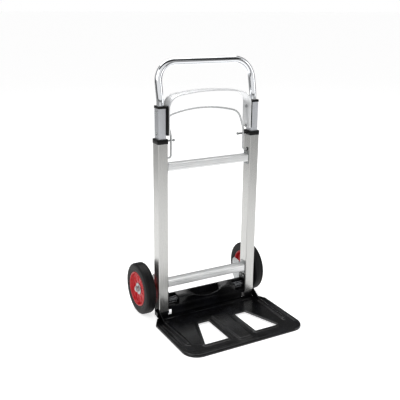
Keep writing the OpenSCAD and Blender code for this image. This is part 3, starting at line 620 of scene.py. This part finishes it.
def pressed_sheet():
    """The plate's upper skin: a rolled rim of rings, and a fine even mesh inside them."""
    shape = bmesh.new()
    levels = [(0, 0), (0, toe_top - roll)]
    levels += [(roll * (1 - math.cos(a)), toe_top - roll + roll * math.sin(a))
               for a in (math.pi / 2 * i / 5 for i in range(1, 6))]
    rings = [[shape.verts.new((p.x * mm, p.y * mm, z * mm)) for p in outline(inset)]
             for inset, z in levels]
    for low, high in zip(rings, rings[1:]):
        for k in range(len(low)):
            shape.faces.new((low[k], low[k - 1], high[k - 1], high[k]))
    inner = outline(roll)
    borders = [inner]
    for ring in (window, [Vector((-p.x, p.y)) for p in reversed(window)]):
        fine = []
        for a, b in zip(ring, ring[1:] + ring[:1]):
            count = round((b - a).length / 2.5)
            fine += [a.lerp(b, k / count) for k in range(count)]
        borders.append(fine)
    points, edges = [], []
    for ring in borders:
        start = len(points)
        edges += [(start + k, start + (k + 1) % len(ring)) for k in range(len(ring))]
        points += ring
    pitch = 2.8
    for i in range(int(2 * toe_half / pitch)):
        for j in range(int((toe_rear - toe_front) / pitch)):
            p = Vector((-toe_half + (i + 0.5 + 0.5 * (j % 2)) * pitch,
                        toe_front + (j + 0.5) * pitch))
            if distance(p, inner) < -1.5 and distance(Vector((abs(p.x), p.y)), window) > 1.2:
                points.append(p)
    flat, _, faces, origins, _, _ = delaunay_2d_cdt(points, edges, [], 1, 1e-4)
    verts = {}
    for i, p in enumerate(flat):
        if origins[i] and origins[i][0] < len(inner):
            verts[i] = rings[-1][origins[i][0]]
        else:
            verts[i] = shape.verts.new((p.x * mm, p.y * mm, (toe_top + raised(p)) * mm))
    for face in faces:
        centre = sum((flat[i] for i in face), Vector((0, 0))) / len(face)
        if distance(Vector((abs(centre.x), centre.y)), window) > 0:
            shape.faces.new([verts[i] for i in face])
    bmesh.ops.recalc_face_normals(shape, faces=shape.faces)
    if sum(face.normal.z for face in shape.faces) < 0:
        bmesh.ops.reverse_faces(shape, faces=shape.faces)
    bmesh.ops.solidify(shape, geom=shape.faces, thickness=2 * mm)
    return shape


def hinge_ear(shape, side):
    """A rounded ear around the hinge bolt, on a web that grows out of the plate's side."""
    hub, r, hole = Vector((in_plate(0, 7).y, 20)), 15, 4.05
    ring = [hub + r * Vector((math.cos(a), math.sin(a)))
            for a in (math.radians(120 - 10 * i) for i in range(25))]
    ring += [Vector((hub.x - 15, 2)), Vector((hub.x - 51, 2)), Vector((hub.x - 51, toe_top - 1))]
    bore = [hub + hole * Vector((math.cos(a), math.sin(a)))
            for a in (math.radians(15 * i) for i in range(24))]
    edges = [(i, (i + 1) % len(ring)) for i in range(len(ring))]
    edges += [(len(ring) + i, len(ring) + (i + 1) % len(bore)) for i in range(len(bore))]
    flat, _, faces, _, _, _ = delaunay_2d_cdt(ring + bore, edges, [], 1, 1e-4)
    skins = []
    for x in (rail_high.x / mm + 0.7, rail_high.x / mm + 3.7):
        verts = [shape.verts.new((side * x * mm, p.x * mm, p.y * mm)) for p in flat]
        skins.append([shape.faces.new([verts[i] for i in face]) for face in faces
                      if (sum((flat[i] for i in face), Vector((0, 0))) / len(face)
                          - hub).length > hole])
    rims = [[edge for edge in {e for face in skin for e in face.edges}
             if len(edge.link_faces) == 1] for skin in skins]
    bmesh.ops.bridge_loops(shape, edges=rims[0] + rims[1])


plate = pressed_sheet()
for side in (-1, 1):
    hinge_ear(plate, side)
bmesh.ops.recalc_face_normals(plate, faces=plate.faces)
mesh = bpy.data.meshes.new("toe_plate_pressed")
plate.to_mesh(mesh)
plate.free()
piece("toe_plate_pressed", mesh, black_coat, "toe_plate", smooth=50)
softened("toe_hinge_bolts", 0.8 * mm, black_coat)
softened("toe_hinge_washers", 0.3 * mm, black_coat)

# ---- Wheel brackets, axles and sleeves ----
# Flat brackets that swing on the fold pivots and carry the axles, with sleeves that
# space the wheels. Zinc-plated steel.
for node in ("left_wheel_bracket", "right_wheel_bracket"):
    softened(node, 0.6 * mm, zinc)
finish(zinc, "left_axle", "right_axle", "left_axle_sleeve", "right_axle_sleeve")

# ---- Tyres ----
# Solid 170 x 38 mm tyres with a flat tread, two fine grooves and a mould line.
# Moulded black rubber, too dull to show more than a broad sheen.
rubber = moulded("rubber_moulded_black", "#070708", 0.46, 0.62, 0.8 * mm, 0.05 * mm)
tyre_profile = [
    (57, 3.5), (58, 2.6), (61, 2.2), (64, 1.8), (66.5, 1.3), (67.5, 1.9), (69, 1.9),
    (70, 1.2), (74, 1.3), (78, 1.9), (81, 3.0), (83.2, 4.6), (84.4, 6.6), (84.8, 9.0),
    (84.9, 11.4), (84.2, 11.8), (84.2, 12.8), (84.9, 13.2), (84.9, 18.4), (85, 18.8),
    (85, 19.2), (84.9, 19.6), (84.9, 24.8), (84.2, 25.2), (84.2, 26.2), (84.9, 26.6),
    (84.8, 29.0), (84.4, 31.4), (83.2, 33.4), (81, 35.0), (78, 36.1), (74, 36.7),
    (70, 36.8), (69, 36.1), (67.5, 36.1), (66.5, 36.7), (64, 36.2), (61, 35.8),
    (58, 35.4), (57, 34.5)]


def on_axle(side):
    """From a part turned about Z to its place on an axle, heights measured outwards."""
    low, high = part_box(side + "_tyre")
    inner = low.x if low.x > 0 else high.x
    place = Matrix.Translation((inner, (low.y + high.y) / 2, (low.z + high.z) / 2))
    return place @ Matrix.Rotation(math.copysign(math.pi / 2, inner), 4, "Y")


for side in ("left", "right"):
    mesh = turned(side + "_solid_tyre", tyre_profile, 128)
    mesh.transform(on_axle(side))
    piece(side + "_solid_tyre", mesh, rubber, side + "_tyre")

# ---- Rims, bushes and axle nuts ----
# Dished rims with a rounded lip, eight low ribs and a hub barrel on a grey bush.
# Moulded red polypropylene with faint flow clouds; the nuts are zinc-plated steel.
red_plastic, tree, shader = surface("polypropylene_moulded_red", {
    "Specular IOR Level": 0.3})
place = add(tree, "ShaderNodeTexCoord")
uneven(tree, shader, place.outputs["Object"], 1.2 * mm, 0.26, 0.36, 0.008 * mm)
flow = add(tree, "ShaderNodeTexNoise",
           {"Vector": place.outputs["Object"], "Scale": 1 / (18 * mm), "Detail": 2.0})
tone = add(tree, "ShaderNodeMix", {
    "Factor": flow.outputs["Fac"], "A": linear("#9A0710"), "B": linear("#B60F1A")},
    data_type="RGBA")
tree.links.new(tone.outputs["Result"], shader.inputs["Base Color"])
rim_profile = [
    (56.9, 3.0), (56.9, 35.2), (56.2, 36.2), (54.9, 36.6), (53.4, 36.4), (52.4, 35.6),
    (51.8, 33.5), (50.8, 29.5), (49.2, 27.0), (46.5, 25.6), (43.0, 25.2), (39.0, 25.3),
    (35.0, 25.6), (31.0, 26.1), (27.0, 26.7), (24.0, 27.3), (22.0, 28.1), (20.6, 28.5),
    (12.0, 28.5), (9.1, 28.3), (9.1, 0.6), (20.4, 0.6), (21.0, 1.2), (22.0, 16.0),
    (25.0, 18.6), (45.0, 18.8), (49.5, 17.0), (51.6, 12.0), (52.4, 3.0), (53.6, 1.8),
    (55.8, 1.8)]
ribs, rib_height, rib_share = 8, 3.0, 0.30
for side in ("left", "right"):
    mesh = turned(side + "_ribbed_rim", rim_profile, 192)
    for vert in mesh.vertices:
        radius = math.hypot(vert.co.x, vert.co.y) / mm
        turn_share = abs(math.atan2(vert.co.y, vert.co.x) / (2 * math.pi) * ribs % 1 - 0.5)
        if vert.co.z > 24 * mm and 22.5 < radius < 50:
            ends = smooth_step(22, 28, radius) * (1 - smooth_step(42, 50, radius))
            crest = 1 - smooth_step(0.35 * rib_share, rib_share, turn_share)
            vert.co.z += rib_height * ends * crest * mm
    mesh.transform(on_axle(side))
    piece(side + "_ribbed_rim", mesh, red_plastic, side + "_rim", smooth=50)
grey_acetal = moulded("acetal_moulded_grey", "#8C8F93", 0.34, 0.46, 0.6 * mm, 0.02 * mm)
finish(grey_acetal, "left_wheel_bush", "right_wheel_bush")
for node in ("left_axle_nut", "right_axle_nut"):
    softened(node, 0.6 * mm, zinc)

# ---- Floor, light and camera ----
# A pale floor lit from below along the line of view, with three softboxes. What mirrors show
# beyond it is a studio with bright and dark sides; the camera itself sees plain white there.
yaw, pitch, roll_angle = math.radians(28.94), math.radians(17.2), math.radians(0.57)
floor_glow = 0.66
floor_paint, tree, shader = surface("floor_white_matt_backlit", {
    "Base Color": linear("#D8D8D8"), "Roughness": 0.9, "Specular IOR Level": 0.0,
    "Emission Color": linear("#FFFFFF")})
seen = add(tree, "ShaderNodeLightPath")
place = add(tree, "ShaderNodeTexCoord")
aside = add(tree, "ShaderNodeVectorMath", {
    0: place.outputs["Object"], 1: (math.cos(yaw), -math.sin(yaw), 0)}, operation="DOT_PRODUCT")
off_line = add(tree, "ShaderNodeMath", {0: aside.outputs["Value"]}, operation="ABSOLUTE")
lit = add(tree, "ShaderNodeMapRange", {
    "Value": off_line.outputs["Value"], "From Min": 1.0, "From Max": 1.9,
    "To Min": floor_glow, "To Max": 0.0}, interpolation_type="SMOOTHSTEP")
straight = add(tree, "ShaderNodeMath", {
    0: seen.outputs["Is Camera Ray"], 1: floor_glow}, operation="MULTIPLY")
glow = add(tree, "ShaderNodeMath", {
    0: lit.outputs["Result"], 1: straight.outputs["Value"]}, operation="MAXIMUM")
tree.links.new(glow.outputs["Value"], shader.inputs["Emission Strength"])
floor_mesh = bpy.data.meshes.new("floor")
floor_mesh.from_pydata([(-60, -60, -0.0005), (60, -60, -0.0005), (60, 60, -0.0005),
                        (-60, 60, -0.0005)], [], [(0, 1, 2, 3)])
floor_mesh.materials.append(floor_paint)
floor = bpy.data.objects.new("floor", floor_mesh)
bpy.context.scene.collection.objects.link(floor)

scene = bpy.context.scene
scene.view_settings.view_transform = "Standard"
scene.world = bpy.data.worlds.new("studio")
scene.world.use_nodes = True
tree = scene.world.node_tree
tree.nodes.clear()
way = add(tree, "ShaderNodeTexCoord")
toward = add(tree, "ShaderNodeVectorMath", {
    0: way.outputs["Generated"], 1: (-math.sin(yaw), -math.cos(yaw), 0)},
    operation="DOT_PRODUCT")
# Each panel edge: its share of the way from the far side round to the camera's side, and
# its brightness.
panels = ((0.0, 0.16), (0.20, 0.18), (0.34, 0.80), (0.50, 0.80), (0.54, 0.03), (0.74, 0.03),
          (0.78, 0.95), (1.0, 0.95))
lift = add(tree, "ShaderNodeMapRange", {
    "Value": toward.outputs["Value"], "From Min": -1.0, "From Max": 1.0})
around = add(tree, "ShaderNodeValToRGB", {"Fac": lift.outputs["Result"]})
while len(around.color_ramp.elements) < len(panels):
    around.color_ramp.elements.new(0.5)
for stop, (position, shade) in zip(around.color_ramp.elements, panels):
    stop.position, stop.color = position, (shade, shade, shade, 1)
height = add(tree, "ShaderNodeSeparateXYZ", {"Vector": way.outputs["Generated"]})
horizon = add(tree, "ShaderNodeMapRange", {
    "Value": height.outputs["Z"], "From Min": 0.02, "From Max": 0.16,
    "To Min": 0.12, "To Max": 1.0}, interpolation_type="SMOOTHSTEP")
sky = add(tree, "ShaderNodeBackground", {
    "Color": around.outputs["Color"], "Strength": horizon.outputs["Result"]})
seen = add(tree, "ShaderNodeLightPath")
backdrop = add(tree, "ShaderNodeBackground", {"Color": (1, 1, 1, 1), "Strength": 1.0})
both = add(tree, "ShaderNodeMixShader", {
    0: seen.outputs["Is Camera Ray"], 1: sky.outputs["Background"],
    2: backdrop.outputs["Background"]})
add(tree, "ShaderNodeOutputWorld", {"Surface": both.outputs["Shader"]})


def softbox(name, place, target, width, height, power):
    """A rectangular lamp that faces its target."""
    lamp = bpy.data.lights.new(name, "AREA")
    lamp.shape, lamp.size, lamp.size_y, lamp.energy = "RECTANGLE", width, height, power
    made = bpy.data.objects.new(name, lamp)
    made.location = place
    made.rotation_euler = (Vector(target) - Vector(place)).to_track_quat("-Z", "Y").to_euler()
    scene.collection.objects.link(made)


softbox("key", (-2.4, -0.6, 2.4), (0, 0, 0.4), 1.8, 1.8, 40)
softbox("fill", (2.2, -1.6, 1.2), (0, 0, 0.5), 0.9, 1.8, 14)
softbox("top", (0.4, 1.6, 3.0), (0, 0, 0.4), 3.0, 1.6, 60)

ahead = Vector((math.sin(yaw) * math.cos(pitch), math.cos(yaw) * math.cos(pitch),
                -math.sin(pitch)))
level = Vector((math.cos(yaw), -math.sin(yaw), 0))
above = level.cross(ahead)
right = math.cos(roll_angle) * level + math.sin(roll_angle) * above
up = math.cos(roll_angle) * above - math.sin(roll_angle) * level
lens = bpy.data.cameras.new("camera")
lens.sensor_width, lens.lens = 36, 57.43
lens.shift_x, lens.shift_y = 0.0127, -0.0007
camera = bpy.data.objects.new("camera", lens)
camera.matrix_world = Matrix.Translation((-0.98368, -1.63334, 0.98486)) @ Matrix(
    (right, up, -ahead)).transposed().to_4x4()
scene.collection.objects.link(camera)
scene.camera = camera
